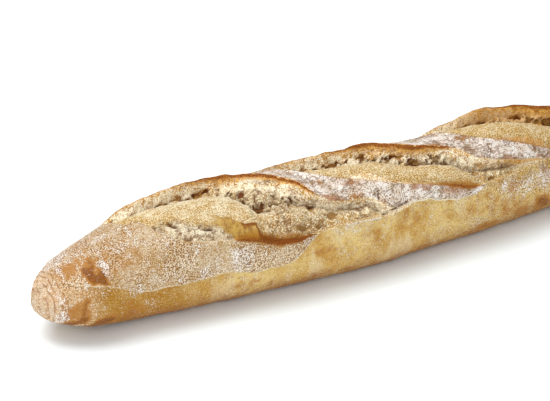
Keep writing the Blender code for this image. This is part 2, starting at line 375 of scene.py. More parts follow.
def crevice(level):
    """Depth of an open crack at a distance from its middle."""
    return CREVICE_DEPTH * np.exp(-((level / CREVICE_WIDTH) ** 2))


def opened_profile(index, ear, rim, upper_share, from_upper, from_lower):
    """The smooth inside of a score: the ear's wall down to the crease, then the bulge up to the lip.

    Returns its lift, the wall's width, the share of the way down it and of the way over the bulge.
    """
    opening = from_upper + from_lower
    widest = along(FIRST_WALL, upper_share) if index == 0 else WALL_WIDTH
    wall = np.minimum(widest, (FIRST_WALL_SHARE if index == 0 else WALL_SHARE) * opening) + 1e-6
    crease = CREASE_DEPTH * smooth(2, 14, opening)
    down = np.clip(from_upper / wall, 0, 1)
    across = np.clip((from_upper - wall) / (opening - wall + 1e-6), 0, 1)
    wall_lift = ear - (ear + crease) * down**0.8
    bulge = BULGE_HEIGHT * smooth(8, 34, opening) * np.sin(np.pi * across) ** 0.8
    bulge_lift = bulge - crease * (1 - across) ** 3 - GROOVE_DEPTH * across**6
    lift = np.where(down < 1, wall_lift, bulge_lift)
    return lift + (rim - lift) * smooth(LIP_WALL, 0, from_lower), wall, down, across


def second_tear(lower_share, from_lower, place):
    """The first score's second tear, the flap of crust beside it and the flap's browned edge."""
    ragged = 1.2 * wander(place, 3.5, 45)
    span = along(TEAR_WIDTH, lower_share)
    tear = smooth(-0.5, 1.0, span - from_lower + ragged) * smooth(-0.6, 0.6, from_lower + ragged)
    tear = tear * (span > 0.3)
    strip = along(FLAP_WIDTH, lower_share)
    from_top = strip - from_lower + 0.4 * ragged
    flap = smooth(-0.4, 0.4, from_top) * (strip > 0.2) * smooth(0.2, 0.34, lower_share)
    flap = flap * (1 - tear)
    return tear, flap, flap * smooth(3.6, 0.9, from_top) * smooth(0.3, 0.38, lower_share)


def wall_lumps(run, from_upper, down):
    """Folds and lumps of the torn wall below an ear."""
    lumps = np.abs(wander(np.stack([run[:, 0], from_upper * 1.5, run[:, 2]], -1), 4.2, 71))
    lumps = lumps + 0.5 * np.abs(wander(np.stack([run[:, 0], from_upper, run[:, 2]], -1), 2.2, 72))
    return (0.6 - 1.9 * lumps) * smooth(0.15, 0.4, down) * (down < 1)


def score_relief(score, index, station, girth, place):
    """Lift, sideways shift and paint masks of one score. place holds the plain body's points."""
    (edge_gap, upper_share, from_lower, lower_share,
     above, below, inside) = score_fields(score, index, station, girth)
    from_upper = np.hypot(edge_gap, EAR_ROUNDING) - EAR_ROUNDING
    opening = from_upper + from_lower
    run = np.stack([upper_share * score["length"] * 1.1, from_upper * 0.6,
                    np.full_like(girth, 50.0 * index)], -1)

    tall = along(EAR_SHAPE, upper_share)
    ear = score["ear"] * tall * (1 + 0.12 * wander(run, 14.0, 41) + 0.1 * wander(run, 5.0, 42))
    rim = LIP_HEIGHT * smooth(0, 0.06, lower_share) * smooth(1, 0.9, lower_share)
    behind = np.where(below, 0, ear * np.clip(1 - from_upper / EAR_REACH, 0, 1) ** 2)
    roll = np.where(above, 0, rim * np.clip(1 - from_lower / LIP_REACH, 0, 1) ** 2)
    lift, wall, down, across = opened_profile(index, ear, rim, upper_share, from_upper, from_lower)

    # torn crumb lies along the crease, over the narrow end of the opening and in the second tear
    wide = smooth(3, 11, opening)
    foot = np.where(down < 1, smooth(0.3, 0.7, down), smooth(0.22, 0.05, across))
    tail = smooth(score["tail"] - 0.05, score["tail"] + 0.05, lower_share)
    tail = tail * smooth(0.3, 1.5, from_lower)
    tear = flap = flap_edge = np.zeros_like(girth)
    if index == 0:
        tear, flap, flap_edge = second_tear(lower_share, from_lower, place)
        tail = tail * (1 - flap)
    torn = np.clip(foot * wide + tail * wide + tear, 0, 1) * inside

    crumb, dark = crumb_relief(place, 90 + index)
    strands = wander(np.stack([run[:, 0], girth * 0.25, run[:, 2]], -1), 3.4, 77)
    on_wall = 0.35 + 0.55 * smooth(5, 9, from_upper)
    loose = torn * np.where(down < 1, on_wall, 1.0) * (1 - 0.45 * tear)
    lift = lift + loose * (0.9 * crumb + 0.8 * strands * tail)
    lift = lift - TEAR_DEPTH * tear * smooth(0, 2, from_lower) + FLAP_THICKNESS * flap

    hollow, openings = wall_holes(run[:, 0], from_upper, wall, index)
    beside_wall = wide * inside * smooth(0.05, 0.2, tall) * smooth(0.12, 0.0, across)
    last = 0.42 if index == 0 else 0.58
    hollow = hollow * beside_wall * smooth(last + 0.03, last - 0.05, upper_share)
    openings = openings * beside_wall * (1 - 0.5 * smooth(0.58, 0.66, upper_share))
    holes = np.maximum(hollow, openings)
    lumps = wall_lumps(run, from_upper, down) * wide
    grain = 0.3 * rough(place, 3.4, 81, 3) + 0.14 * wander(place, 1.0, 84)
    lift = lift + (lumps + grain - HOLE_DEPTH * holes) * smooth(0, 1.5, from_lower)

    deep = along(FIRST_CREVICE if index == 0 else CREVICE, upper_share) * smooth(4, 8, opening)
    foot_level = np.where(above, -from_upper, from_upper) - wall
    lift = lift - deep * crevice(foot_level)
    # how strongly the holes and crumb pits are darkened as painted shade
    pits = np.clip(openings + 0.8 * loose * dark * smooth(0.2, 1.2, from_lower), 0, 1)

    lean = EAR_LEAN * (1 - down) ** 2 - UNDERCUT * np.sin(np.pi * down)
    lift = np.where(inside, lift, behind + roll)
    shift = np.where(inside, HOLE_SHIFT * holes - 0.5 * lumps - ear * lean, -EAR_LEAN * behind)

    nearest_edge = np.minimum(edge_gap, from_lower)
    browning = FIRST_BROWNING if index == 0 else BROWNING
    return dict(lift=lift, shift=shift, cut=np.where(inside, nearest_edge, -nearest_edge),
                upper=np.where(above, -edge_gap, edge_gap), toast=along(TOAST, upper_share),
                lower=np.where(below, -from_lower, from_lower), lip=along(browning, lower_share),
                foot=foot_level, deep=deep, torn=torn, pit_shade=pits, hollow=hollow,
                crest=flap_edge * inside, flap=flap * inside, tear=tear * inside,
                across=np.where(down < 1, 0, across) * inside)


# ---- The crust's own relief, away from the scores ----

FOLD = ((0, 4), (5.7, -1.7), (17.5, -16.6), (30, -25.4), (50.6, -37.6), (65, -42), (89, -43.5),
        (113, -46.6), (122, -46), (130, -42.5), (138, -35.5), (147, -33), (175, -33.6),
        (185, -32.8), (190, -31.6), (199, -31), (210, -33.4), (222, -35.5), (231, -35),
        (240, -30), (255, -27.5), (278, -26), (295, -30), (310, -38), (330, -36), (352, -30),
        (385, -27), (400, -31), (420, -37), (445, -43), (480, -42), (510, -37), (535, -28),
        (552, -31), (570, -27), (588, -14), (600, 4))
FAR_FOLD = ((0, 4), (10, 16), (40, 38), (90, 44), (180, 40), (260, 45), (360, 41), (450, 46),
            (540, 40), (585, 20), (600, 4))

# patches of the skin: station, girth, half length, half width, strength
SCORCHED = (
    (25, -13, 3.2, 5.6, 1.15), (27.5, -19.5, 3, 3.6, 1.05), (17.5, -27, 3.2, 3, 0.9),
    (16, -5, 4, 6, 0.4), (24, -3, 5, 3.5, 0.35), (33, -12, 4, 4, 0.3),
    (13, -33, 6, 5, 1.05), (12, -25, 3, 4, 0.6),
    (25, -42, 8, 4.5, 1.05), (40, -46, 9, 4, 0.7), (40, -38, 8, 3, 0.3), (60, -56, 9, 4, 0.5),
    (42, -16, 13, 8, 0.2), (97, -51, 3.2, 3, 0.5), (103, -51.5, 2.6, 3, 0.5),
    (149, -17.3, 3.2, 1.6, 0.65), (163, -19.8, 4, 1.3, 0.7), (146, -9, 7, 3.5, 0.5),
    (167, -12.4, 4.5, 1.3, 0.6), (223, -29.8, 5, 1.8, 0.9), (234, -5.5, 5, 2, 0.6),
    (145, -43, 9, 3, 0.25), (170, -40, 10, 4, 0.2), (190, -38, 9, 5, 0.25),
    (240, -56, 8, 3.5, 0.6), (251, -50, 5, 3, 0.4), (262, -52, 6, 3.5, 0.6), (276, -50, 7, 5, 0.9),
    (254, -37, 2, 3, 0.5), (254, -46, 13, 7, 0.3), (236, -42, 13, 8, 0.2),
    (330, -46, 8, 5, 0.5), (392, -42, 9, 4, 0.4), (500, -47, 12, 5, 0.5),
    (566, -20, 7, 8, 0.6), (572, 12, 6, 8, 0.5), (40, 30, 9, 6, 0.4), (150, 36, 12, 6, 0.4),
    (300, 44, 14, 6, 0.4), (430, 38, 12, 6, 0.3),
)
FLOURED = (
    (4, -3, 7, 12, 0.45), (16, 10, 9, 8, 0.65), (27, 4, 7, 5, 0.5), (22, 6, 6, 5, 0.4),
    (20, -17.5, 3, 3.5, 0.8), (30.5, -17, 2.6, 5, 0.8), (98, -37, 9, 7, 0.6), (265, -37, 22, 7, 0.5),
    (7, -23.5, 5, 6, 0.8), (37, 1.5, 8, 4, 0.6), (45, -35, 6, 3, 0.5), (62, -33, 8, 4, 0.4),
    (95, -37, 1.5, 6, 1.0), (91.5, -34, 1.4, 3, 0.8), (100, -38, 1.3, 5, 0.7), (104, -39, 4, 4, 0.4),
    (134, -35.5, 4, 1.6, 0.9), (249.3, -34.1, 2.2, 2.2, 1.1), (264, -36, 6, 3.5, 0.65),
    (262, -42, 4, 4, 0.55), (276.5, -34, 5, 6, 1.0), (246, -40, 2.4, 6, 0.5),
    (240, -44, 2.4, 6, 0.45), (270, -40, 4, 4, 0.5), (228, -46, 2, 5, 0.4), (350, -34, 12, 4, 0.7),
    (440, -36, 10, 4, 0.6), (520, -32, 14, 5, 0.6), (560, 4, 12, 8, 0.5), (330, 36, 16, 5, 0.4),
)


def patches(spots, station, girth):
    """How strong the strongest patch is at every place."""
    total = np.zeros_like(girth)
    for along_it, round_it, length, width, strength in spots:
        far = np.hypot((station - along_it) / length, (girth - round_it) / width)
        total = np.maximum(total, strength * smooth(1.35, 0.55, far))
    return total


def skin_relief(station, girth, place):
    """Lift of the unbroken skin, and its masks."""
    end = np.minimum(station, LENGTH - station)
    lift = 0.7 * wander(place, 42.0, 1) + 0.4 * rough(place, 17.0, 2, 2)
    lift = lift + 0.16 * rough(place, 4.0, 5, 2) + 0.06 * wander(place, 1.1, 8)

    ring = end + 2.0 * wander(place, 8.0, 11) + 0.06 * np.abs(girth + 10)
    wrinkles = np.sin(ring * 2 * np.pi / 2.7) * smooth(2, 5, end) * smooth(22, 12, end)
    lift = lift + 0.12 * wrinkles * smooth(-0.5, 0.4, wander(place, 10.0, 12))

    bend = 1.2 * wander(place, 14.0, 15) + 0.5 * wander(place, 4.0, 16)
    near_line = girth - along(FOLD, station) + bend
    far_line = along(FAR_FOLD, station) - girth + bend
    fold = np.minimum(near_line, far_line)
    lift = lift + 0.4 * smooth(-0.5, 0.6, fold) + 0.35 * np.exp(-((fold - 0.4) / 0.6) ** 2)

    bent_station = station + 1.8 * wander(place, 6.0, 28) + 1.2 * wander(place, 2.4, 23)
    bent_girth = girth + 1.8 * wander(place, 5.0, 27) + 1.2 * wander(place, 2.4, 24)
    return lift, dict(fold=fold, scorched=patches(SCORCHED, bent_station, bent_girth),
                      floured=patches(FLOURED, bent_station, bent_girth))


def sole_relief(place):
    """Small dimples where the loaf lay while it baked."""
    first, number = cells(place, 6.0, 95)
    dimples = 0.6 * smooth(0.5, 0.15, first) * smooth(0.4, 0.7, number)
    return 0.25 * rough(place, 9.0, 96, 2) - dimples


# the distances to a score's lines, each with a value that belongs to the nearest one
LEVELS = (("upper", "toast"), ("lower", "lip"), ("foot", "deep"))
AMOUNTS = ("torn", "tear", "pit_shade", "hollow", "crest", "flap", "across")


def keep_nearest(masks, near, got):
    """Takes over a score's levels where its lines are the nearest."""
    for level, amount in LEVELS:
        closer = np.abs(got[level]) < np.abs(masks[level][near])
        masks[level][near] = np.where(closer, got[level], masks[level][near])
        masks[amount][near] = np.where(closer, got[amount], masks[amount][near])


def detailed_crust():
    """Points of the whole crust, and a value of every mask for each of them."""
    stations = crust_stations()
    points, girths = plain_body(stations)
    normals, tangents = normals_and_tangents(points)
    where = np.broadcast_to(stations[:, None], girths.shape)
    lift, masks = skin_relief(where, girths, points)

    open_lift = np.zeros_like(girths)
    shift = np.zeros_like(girths)
    for level, amount in LEVELS:
        masks[level] = np.full_like(girths, FAR_OFF)
        masks[amount] = np.zeros_like(girths)
    for name in AMOUNTS:
        masks[name] = np.zeros_like(girths)
    cut = np.full_like(girths, -FAR_OUT)
    for index, score in enumerate(SCORES):
        half = score["length"] / 2
        near = np.abs(where - score["start"] - half) < half + EAR_REACH
        near &= np.abs(girths) < 60
        got = score_relief(score, index, where[near], girths[near], points[near])
        open_lift[near] += got["lift"]
        shift[near] += got["shift"]
        cut[near] = np.maximum(cut[near], got["cut"])
        keep_nearest(masks, near, got)
        for name in AMOUNTS:
            masks[name][near] = np.maximum(masks[name][near], got[name])

    opened = smooth(-0.8, 0.4, cut)
    level, openness = crevice_levels(where, girths, points)
    lift = lift * (1 - 0.75 * opened) + open_lift - openness * crevice(level)
    sole = smooth(3.0, 0.5, points[..., 2]) * (normals[..., 2] < -0.5)
    lift = lift * (1 - sole) + sole * np.minimum(sole_relief(points), 0)
    points = points + normals * lift[..., None] + tangents * shift[..., None]
    points[..., 2] = np.maximum(points[..., 2], 0)
    masks.update(cut=cut, crevice=level, cracked=openness, sole=sole, station=where, girth=girths)
    return points, masks


def surface_mesh(points, masks):
    """One closed mesh of the rows, whose end rows are drawn together to one vertex each."""
    rows, columns = points.shape[:2]
    inner = points[1:-1].reshape(-1, 3)
    tips = np.array([points[0].mean(axis=0), points[-1].mean(axis=0)])
    vertices = np.concatenate([inner, tips]) * MM
    index = np.arange((rows - 2) * columns).reshape(rows - 2, columns)
    turned = np.roll(index, -1, axis=1)
    quads = np.stack([index[:-1], index[1:], turned[1:], turned[:-1]], -1).reshape(-1, 4)
    near = np.full(columns, len(vertices) - 2)
    far = np.full(columns, len(vertices) - 1)
    fans = np.concatenate([np.stack([near, index[0], turned[0]], -1),
                           np.stack([far, turned[-1], index[-1]], -1)])
    mesh = bpy.data.meshes.new("loaf_crust")
    mesh.vertices.add(len(vertices))
    mesh.vertices.foreach_set("co", vertices.ravel())
    mesh.loops.add(quads.size + fans.size)
    mesh.loops.foreach_set("vertex_index", np.concatenate([quads.ravel(), fans.ravel()]))
    mesh.polygons.add(len(quads) + len(fans))
    starts = np.concatenate([np.arange(len(quads)) * 4, quads.size + np.arange(len(fans)) * 3])
    mesh.polygons.foreach_set("loop_start", starts)
    mesh.update(calc_edges=True)
    for name, values in masks.items():
        ends = [values[0].mean(), values[-1].mean()]
        layer = mesh.attributes.new(name, "FLOAT", "POINT")
        layer.data.foreach_set("value", np.concatenate([values[1:-1].ravel(), ends]))
    return mesh


def loaf_object(material):
    """The crust as a mesh with fewer faces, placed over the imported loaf."""
    points, masks = detailed_crust()
    plain = plain_body(np.linspace(0, LENGTH, 600))[0]
    points[..., 1] -= (plain[..., 1].min() + plain[..., 1].max()) / 2
    loaf = bpy.data.objects.new("loaf_crust", surface_mesh(points, masks))
    bpy.context.scene.collection.objects.link(loaf)
    thin = loaf.modifiers.new("fewer_faces", "DECIMATE")
    thin.ratio = TRIANGLES / sum(len(face.vertices) - 2 for face in loaf.data.polygons)
    evaluated = loaf.evaluated_get(bpy.context.evaluated_depsgraph_get())
    mesh = bpy.data.meshes.new_from_object(evaluated)
    loaf.modifiers.clear()
    loaf.data = mesh
    mesh.shade_smooth()
    mesh.materials.clear()
    mesh.materials.append(material)
    return loaf


# ---- Materials ----

CRUST_ROUGHNESS = 0.56
FLOUR_DULLNESS = 0.3
CRUMB_DULLNESS = 0.25
SHINE = 0.2
FLOOR_SIZE = 4.0
FLOOR_COLOUR = (0.905, 0.955, 0.975, 1)


def tint(red, green, blue):
    """A display colour, 0 to 255, as the linear colour a shader takes."""
    steps = [value / 255 for value in (red, green, blue)]
    return tuple(v / 12.92 if v <= 0.04045 else ((v + 0.055) / 1.055) ** 2.4 for v in steps) + (1,)


class Shading:
    """Short names for the shader nodes that the crust is painted with."""

    def __init__(self, name):
        self.material = bpy.data.materials.new(name)
        self.material.use_nodes = True
        self.tree = self.material.node_tree
        self.shader = self.tree.nodes["Principled BSDF"]
        place = self.tree.nodes.new("ShaderNodeTexCoord")
        self.millimetres = self.vector("SCALE", place.outputs["Object"], scale=1 / MM)
        self.station = self.mask("station")
        self.girth = self.mask("girth")

    def join(self, value, socket):
        if isinstance(value, bpy.types.NodeSocket):
            self.tree.links.new(value, socket)
        else:
            socket.default_value = value

    def vector(self, kind, a, b=None, scale=None):
        node = self.tree.nodes.new("ShaderNodeVectorMath")
        node.operation = kind
        self.join(a, node.inputs[0])
        if b is not None:
            self.join(b, node.inputs[1])
        if scale is not None:
            node.inputs["Scale"].default_value = scale
        return node.outputs[0]

    def math(self, kind, a, b=0.0, clamp=False):
        node = self.tree.nodes.new("ShaderNodeMath")
        node.operation = kind
        node.use_clamp = clamp
        self.join(a, node.inputs[0])
        self.join(b, node.inputs[1])
        return node.outputs[0]

    def add(self, a, b):
        return self.math("ADD", a, b)

    def times(self, a, b):
        return self.math("MULTIPLY", a, b)

    def less(self, a, b):
        return self.math("SUBTRACT", a, b)

    def most(self, a, b):
        return self.math("MAXIMUM", a, b)

    def distance(self, a):
        return self.math("ABSOLUTE", a)

    def blend(self, a, share, b):
        """A share of a and the rest of b."""
        return self.add(self.times(a, share), self.times(b, 1 - share))

    def sway(self, noise, reach):
        """Noise moved to swing round 0."""
        return self.times(self.less(noise, 0.5), reach)

    def mask(self, name):
        node = self.tree.nodes.new("ShaderNodeAttribute")
        node.attribute_name = name
        return node.outputs["Fac"]

    def rise(self, value, low, high, top=1.0, bottom=0.0):
        """From bottom where value is at low to top where it is at high."""
        node = self.tree.nodes.new("ShaderNodeMapRange")
        node.interpolation_type = "SMOOTHSTEP"
        self.join(value, node.inputs["Value"])
        for name, level in (("From Min", low), ("From Max", high), ("To Min", bottom), ("To Max", top)):
            self.join(level, node.inputs[name])
        return node.outputs["Result"]

    def noise(self, size, detail=2.0, roughness=0.5, vector=None, shift=0.0):
        """Noise around 0.5 whose lumps are about size millimetres."""
        node = self.tree.nodes.new("ShaderNodeTexNoise")
        source = self.millimetres if vector is None else vector
        self.join(self.vector("ADD", source, (shift, shift * 1.7, shift * 0.6)), node.inputs["Vector"])
        node.inputs["Scale"].default_value = 1.0 / size
        node.inputs["Detail"].default_value = detail
        node.inputs["Roughness"].default_value = roughness
        return node.outputs["Fac"]

    def stretched(self, x, y):
        """Coordinates along and round the crust, drawn out by these factors."""
        node = self.tree.nodes.new("ShaderNodeCombineXYZ")
        self.join(self.times(self.station, 1 / x), node.inputs[0])
        self.join(self.times(self.girth, 1 / y), node.inputs[1])
        return node.outputs[0]

    def spread(self, value):
        """One value as all three parts of a vector."""
        node = self.tree.nodes.new("ShaderNodeCombineXYZ")
        for socket in node.inputs:
            self.join(value, socket)
        return node.outputs[0]

    def mix(self, share, a, b):
        node = self.tree.nodes.new("ShaderNodeMix")
        node.data_type = "RGBA"
        self.join(share, node.inputs["Factor"])
        self.join(a, node.inputs[6])
        self.join(b, node.inputs[7])
        return node.outputs[2]

    def layers(self, colour, *coats):
        """Lays coats over a colour, each as its share with a display colour or a computed one."""
        for share, coat in coats:
            colour = self.mix(share, colour, tint(*coat) if isinstance(coat, tuple) else coat)
        return colour


def bare_skin(m):
    """Crust without flour: straw to golden brown, darkest towards the noses and near the sole, where
    the darkening is partly baking and partly painted shade.
    """
    base = m.rise(m.blend(m.noise(26, 3, 0.55), 0.5, m.medium), 0.42, 0.6)
    drawn = m.noise(7, 3, 0.55, vector=m.stretched(1.0, 4.0), shift=200)
    golden = m.times(m.rise(m.end, 100, 55), m.rise(m.medium, 0.3, 0.6, 1.0, 0.75))
    # painted shade, partly: the flank darkens to orange-brown towards the sole, both as more baked
    # crust and as shade on the lower flank
    low = m.add(m.height, m.sway(m.medium, 26.0))
    grained = m.rise(m.station, 190, 255, 0.85, 0.4)
    return m.layers(
        m.mix(base, tint(212, 184, 118), tint(190, 149, 72)),
        (m.rise(drawn, 0.5, 0.64, 0.55), (220, 202, 162)),
        (golden, (156, 107, 12)),
        (m.rise(low, 15, 2, 0.95), (144, 84, 18)),
        (m.rise(m.medium, 0.58, 0.72, 0.25), (156, 102, 30)),
        (m.rise(m.fine, 0.55, 0.68, 0.3), (150, 100, 34)),
        (m.times(m.rise(m.grit, 0.52, 0.62), grained), (220, 188, 122)),
        (m.times(m.rise(m.grit, 0.48, 0.38), grained), (138, 90, 34)))


def sandy_skin(m):
    """Crust under a thin coat of flour, grained like fine sand."""
    patch = m.rise(m.blend(m.patchy, 0.6, m.medium), 0.44, 0.58)
    nose = m.times(m.rise(m.end, 42, 14), m.rise(m.patchy, 0.4, 0.6, 1.0, 0.5))
    grains = m.rise(m.noise(15, 2, 0.5, shift=400), 0.4, 0.6, 1.0, 0.5)
    grains = m.times(grains, m.rise(m.end, 4, 12, 1.0, 0.55))
    return m.layers(
        m.mix(patch, tint(196, 174, 140), tint(172, 134, 74)),
        (nose, (196, 150, 92)),
        (m.rise(m.end, 12, 4, 0.75), (224, 194, 158)),
        (m.rise(m.fine, 0.47, 0.38, 0.5), (150, 104, 50)),
        (m.times(m.rise(m.grit, 0.48, 0.42, 0.95), grains), (118, 76, 34)),
        (m.times(m.rise(m.grit, 0.52, 0.58, 0.9), grains), (236, 220, 196)))


def flour_share(m, burnt):
    """Where white flour covers the crust, 0 to 1."""
    crest = m.rise(m.distance(m.girth), 44, 30)
    start = m.add(m.station, m.sway(m.patchy, 60.0))
    bands = m.times(crest, m.times(m.rise(start, 114, 142), m.rise(m.end, 25, 70)))
    smears = m.noise(4.5, 3, 0.6, vector=m.stretched(1.0, 2.6), shift=240)
    thick = m.rise(m.noise(5.5, 3, 0.6, shift=640), 0.36, 0.6, 0.9, 0.4)
    coat = m.add(m.add(0.06, m.rise(m.patchy, 0.4, 0.64, 0.26)), m.times(bands, thick))
    coat = m.times(m.above, m.add(coat, m.rise(smears, 0.54, 0.66, 0.35)))
    dusting = m.times(m.rise(m.patchy, 0.52, 0.64, 0.28), m.rise(m.height, 4, 14))
    coat = m.less(m.most(coat, dusting), m.times(burnt, 0.5))
    coat = m.most(coat, m.rise(m.mask("floured"), 0.1, 0.9, 0.75))
    specks = m.blend(m.grit, 0.78, m.fine)
    specks = m.sway(specks, m.add(3.6, m.times(bands, 1.6)))
    return m.rise(m.add(specks, coat), 0.34, 0.8)


def cracks(m, size, width, across, along_it):
    """Fine dark cracks between pieces of the given size."""
    net = m.tree.nodes.new("ShaderNodeTexVoronoi")
    net.feature = "DISTANCE_TO_EDGE"
    net.inputs["Scale"].default_value = 1.0 / size
    bend = m.sway(m.noise(0.7 * size, 2, 0.6, shift=280), 1.2 * size)
    m.join(m.vector("ADD", m.stretched(along_it, across), m.spread(bend)), net.inputs["Vector"])
    lines = m.rise(net.outputs["Distance"], width / size, 0.25 * width / size)
    return m.times(lines, m.rise(m.noise(2.0 * size, 3, 0.6, shift=320), 0.46, 0.56))


def rings(m):
    """Thin wrinkles drawn round the noses."""
    bent = m.add(m.end, m.times(m.noise(10, 2, 0.5, shift=440), 4.5))
    wave = m.math("SINE", m.times(bent, 2 * math.pi / 2.3))
    lines = m.times(m.rise(wave, 0.3, 0.95), m.rise(m.noise(5, 2, 0.5, shift=460), 0.38, 0.54))
    return m.times(lines, m.times(m.rise(m.end, 0.3, 1.0), m.rise(m.end, 14, 9)))


def skin_colour(m):
    """The whole unbroken crust, and where flour lies on it."""
    ragged = m.add(m.sway(m.blend(m.fine, 0.6, m.grit), 1.3), m.sway(m.medium, 0.9))
    burnt = m.add(m.mask("scorched"), m.times(ragged, m.rise(m.mask("scorched"), 0.02, 0.25)))
    floured = flour_share(m, m.rise(burnt, 0.1, 0.7))
    powder = m.mix(m.rise(m.medium, 0.4, 0.62), tint(236, 229, 222), tint(218, 203, 188))

    band = m.times(m.rise(m.distance(m.girth), 38, 26), m.rise(m.station, 125, 145))
    ruddy = m.noise(9, 3, 0.6, vector=m.stretched(2.0, 1.0), shift=360)
    ruddy = m.add(ruddy, m.rise(m.mask("upper"), -5.0, -0.5, 0.09))
    ruddy = m.add(ruddy, m.times(m.less(m.add(m.grit, m.fine), 1.0), 0.25))
    wide = m.times(cracks(m, 4.8, 0.7, 0.8, 1.5), m.rise(m.station, 200, 225, 0.6))
    edge = m.rise(m.distance(m.less(m.mask("fold"), 0.4)), 0.5, 0.1)
    edge = m.times(edge, m.times(m.rise(m.end, 10, 20), m.rise(m.station, 232, 216)))
    ledge = m.most(m.rise(m.station, 168, 178), m.rise(m.medium, 0.42, 0.56, 0.5, 0.1))
    return m.layers(
        m.mix(m.times(m.above, 0.9), bare_skin(m), sandy_skin(m)),
        (m.rise(burnt, 0.05, 0.6, 0.9), (164, 108, 34)),
        (m.rise(burnt, 0.55, 1.1, 0.9), (120, 66, 6)),
        (m.times(floured, 0.9), powder),
        (m.times(rings(m), 0.7), (146, 92, 40)),
        (m.times(band, m.rise(ruddy, 0.6, 0.7, 0.7)), (158, 96, 48)),
        (m.times(band, m.times(cracks(m, 3.0, 0.42, 0.8, 1.3), 0.75)), (118, 88, 58)),
        (m.times(band, wide), (124, 84, 50)),
        (m.times(edge, ledge), (230, 217, 184))), floured


def bulge_colour(m, across):
    """The risen strip of an open score: cream at its upper edge, straw and gold below."""
    streak = m.noise(2.4, 4, 0.6, vector=m.stretched(3.5, 1.0), shift=20)
    streak = m.add(m.blend(streak, 0.5, m.medium), m.sway(across, 0.16))
    high = m.add(across, m.sway(m.medium, 0.5))
    return m.layers(
        m.mix(m.rise(streak, 0.38, 0.62), tint(220, 205, 168), tint(182, 145, 74)),
        (m.rise(m.station, 140, 210, 0.4), (184, 144, 56)),
        (m.rise(high, 0.28, 0.06, 0.85), (236, 224, 196)),
        (m.rise(m.fine, 0.56, 0.68, 0.25), (160, 118, 54)),
        (m.rise(m.grit, 0.51, 0.6, 0.6), (236, 224, 196)),
        (m.rise(m.grit, 0.49, 0.4, 0.65), (134, 96, 44)))


def crumb_colour(m, across):
    """Torn crumb: pale lumps and golden strands, with greyish hollows, dark cracks and an olive band
    that are painted shade.
    """
    mottled = m.blend(m.fine, 0.5, m.medium)
    mottled = m.add(mottled, m.sway(across, m.rise(m.mask("tear"), 0, 1, -0.04, 0.24)))
    strands = m.noise(2.4, 3, 0.6, vector=m.stretched(1.0, 3.2), shift=480)
    # painted shade: greyish hollows, a faint olive darkening between stations 108 and 150, and dark
    # cracks stand for shade in the torn crumb
    hollows = m.noise(4.2, 2, 0.5, shift=520)
    olive_shade = m.times(m.rise(m.station, 108, 122), m.rise(m.station, 150, 140, 0.35))
    return m.layers(
        m.mix(m.rise(mottled, 0.42, 0.57), tint(222, 206, 166), tint(182, 139, 60)),
        (m.rise(strands, 0.52, 0.62, 0.6), (164, 122, 58)),
        (m.rise(hollows, 0.53, 0.65, 0.3), (164, 130, 78)),
        (olive_shade, (150, 114, 62)),
        (m.times(m.mask("tear"), 0.5), (232, 222, 200)),
        (m.rise(m.grit, 0.51, 0.6, 0.7), (240, 231, 208)),
        (m.rise(m.grit, 0.49, 0.4, 0.5), (128, 98, 58)),
        (m.times(cracks(m, 3.0, 0.5, 1.0, 1.2), 0.7), (112, 70, 26)))


def wall_colour(m):
    """The inner wall of an ear: cream and gold with fine pores."""
    toast = m.rise(m.mask("toast"), 0.2, 0.9)
    pale = m.blend(m.fine, 0.5, m.medium)
    pale = m.add(pale, m.times(toast, m.rise(m.mask("upper"), 7.5, 2.0, 0.04, -0.1)))
    pale = m.less(pale, m.times(m.less(1, toast), m.rise(m.mask("upper"), 0.0, 3.0, 0.1, 0.02)))
    return m.layers(
        m.mix(m.rise(pale, 0.42, 0.51), tint(240, 226, 190), tint(206, 160, 80)),
        (m.rise(m.noise(2.8, 2, 0.5, shift=680), 0.56, 0.62, 0.6), (156, 98, 24)),
        (m.rise(m.fine, 0.58, 0.68, 0.4), (156, 106, 40)),
        (m.rise(m.grit, 0.51, 0.58, 0.75), (250, 243, 224)),
        (m.rise(m.station, 232, 262, 0.7), (186, 130, 30)),
        (m.rise(m.grit, 0.48, 0.41, 0.5), (150, 104, 46)))


def opened_colour(m):
    """Everything inside the scores."""
    across = m.mask("across")
    foot = m.mask("foot")
    ragged = m.sway(m.fine, 1.2)
    high = m.rise(m.add(m.mask("upper"), m.sway(m.medium, 12.0)), 9.5, 7.5)
    # painted shade: the wall's hollows take an amber to dark brown colour for the shade inside them
    hollow = m.add(m.mask("hollow"), m.times(ragged, 0.8))
    amber = m.mix(m.rise(m.fine, 0.42, 0.6), tint(186, 132, 48), tint(122, 66, 8))
    baked = m.mix(m.rise(m.add(m.fine, m.sway(m.grit, 0.8)), 0.4, 0.6),
                  tint(188, 150, 68), tint(140, 94, 20))
    # painted shade: pits and holes darken to dark brown near the crease and to grey-brown over the
    # bulge
    pit_shade = m.add(m.mask("pit_shade"), m.times(ragged, 0.8))
    hole = m.mix(m.rise(across, 0.02, 0.12), tint(104, 50, 2), tint(150, 112, 60))
    # painted shade: an olive-brown band and a dark groove along the foot of the ear wall, where the
    # crevice lies in shade
    shade = m.times(m.rise(m.add(foot, m.sway(m.medium, 8.0)), -3.4, -1.2),
                    m.times(m.rise(foot, 2.4, 0.8), m.mask("deep")))
    shade = m.times(shade, m.rise(m.noise(2.6, 3, 0.6, shift=700), 0.4, 0.56, 0.8, 0.1))
    groove_shade = m.times(m.rise(m.distance(m.add(foot, ragged)), 0.9, 0.25, 0.85), m.mask("deep"))
    groove_shade = m.times(groove_shade, m.rise(m.noise(3.4, 3, 0.6, shift=560), 0.44, 0.53))
    return m.layers(
        m.mix(m.mask("torn"), bulge_colour(m, across), crumb_colour(m, across)),
        (m.times(m.rise(m.add(foot, ragged), 0.5, -0.5), high), wall_colour(m)),
        (m.rise(hollow, 0.15, 0.6, 0.85), amber),
        (m.rise(m.mask("flap"), 0.3, 0.8, 0.85), baked),
        (m.rise(pit_shade, 0.25, 0.65, 0.95), hole),
        (shade, (126, 94, 42)),
        (groove_shade, (108, 62, 16)))


